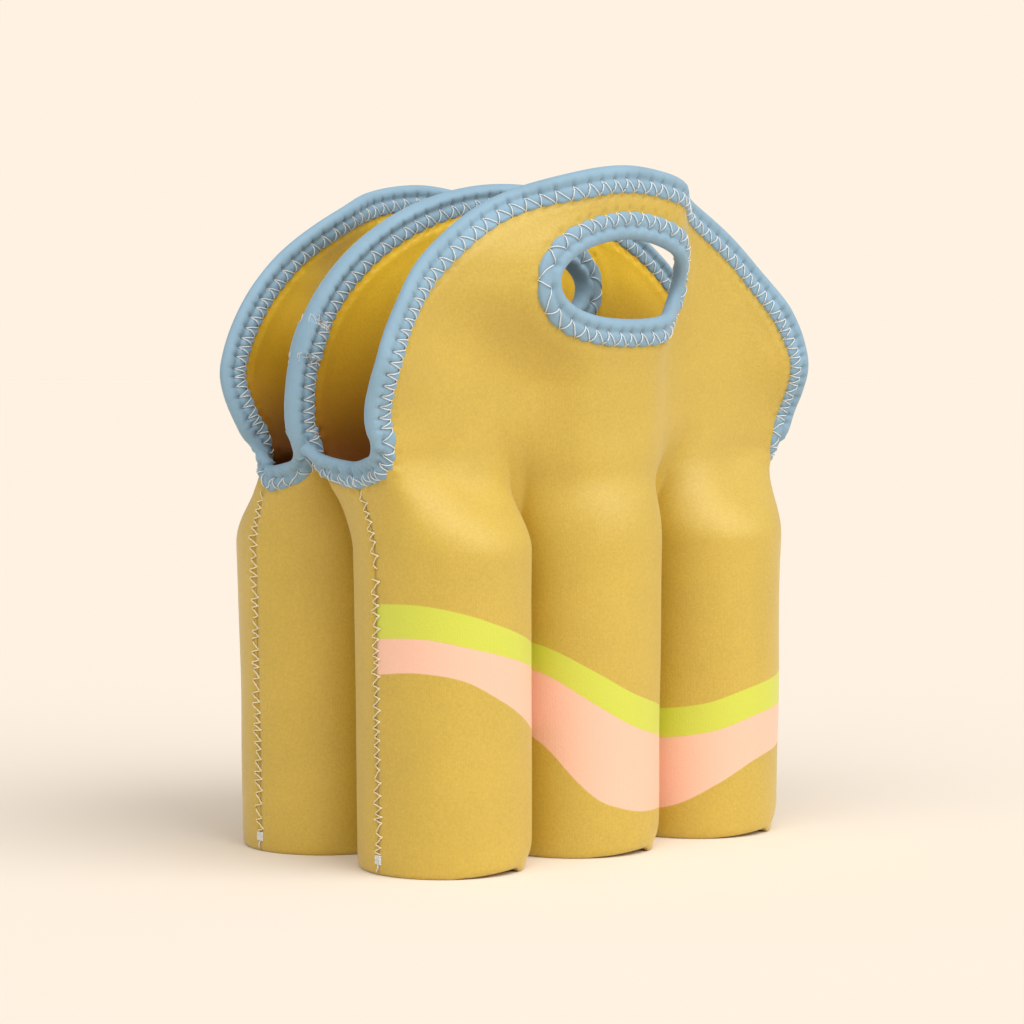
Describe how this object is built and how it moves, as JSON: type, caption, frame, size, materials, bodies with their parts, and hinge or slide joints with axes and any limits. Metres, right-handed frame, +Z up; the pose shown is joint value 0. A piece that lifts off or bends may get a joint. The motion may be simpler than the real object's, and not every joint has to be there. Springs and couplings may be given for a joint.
{
  "type": "six pack bottle carrier",
  "caption": "Soft neoprene bottle carrier: two back-to-back sleeves of round pockets under three arched handle flaps with bound oval hand openings.",
  "frame": {"origin": "centre of the base, on the surface that the carrier stands on, midway between the two sleeves", "axes": "+Z up; +X along the row of pockets; +Y towards the back sleeve, so the front sleeve with the stripes faces -Y"},
  "size_m": [0.235, 0.1398, 0.2675],
  "materials": {
    "cloth": "mustard knitted face on neoprene, yellow inside, soft sheen",
    "tape": "smooth light blue stretch binding tape with pale zigzag stitching"
  },
  "bodies": {
    "sleeves": {"front_pocket_wall": "cloth", "back_pocket_wall": "cloth", "front_inner_panel": "cloth", "back_inner_panel": "cloth", "middle_edge_binding": "tape", "middle_handle_binding": "tape", "front_left_mouth_binding": "tape", "front_right_mouth_binding": "tape", "back_left_mouth_binding": "tape", "back_right_mouth_binding": "tape"},
    "front_flap": {"front_handle_flap": "cloth", "front_edge_binding": "tape", "front_handle_binding": "tape"},
    "back_flap": {"back_handle_flap": "cloth", "back_edge_binding": "tape", "back_handle_binding": "tape"}
  },
  "joints": [
    {"name": "front_flap_bend", "type": "hinge", "parent": "sleeves", "child": "front_flap", "pos_m": [0, -0.0435, 0.16], "axis": [-1, 0, 0], "range_deg": [0, 24], "stiffness_Nm_per_rad": 0.15},
    {"name": "back_flap_bend", "type": "hinge", "parent": "sleeves", "child": "back_flap", "pos_m": [0, 0.036, 0.16], "axis": [1, 0, 0], "range_deg": [0, 19], "stiffness_Nm_per_rad": 0.15}
  ]
}
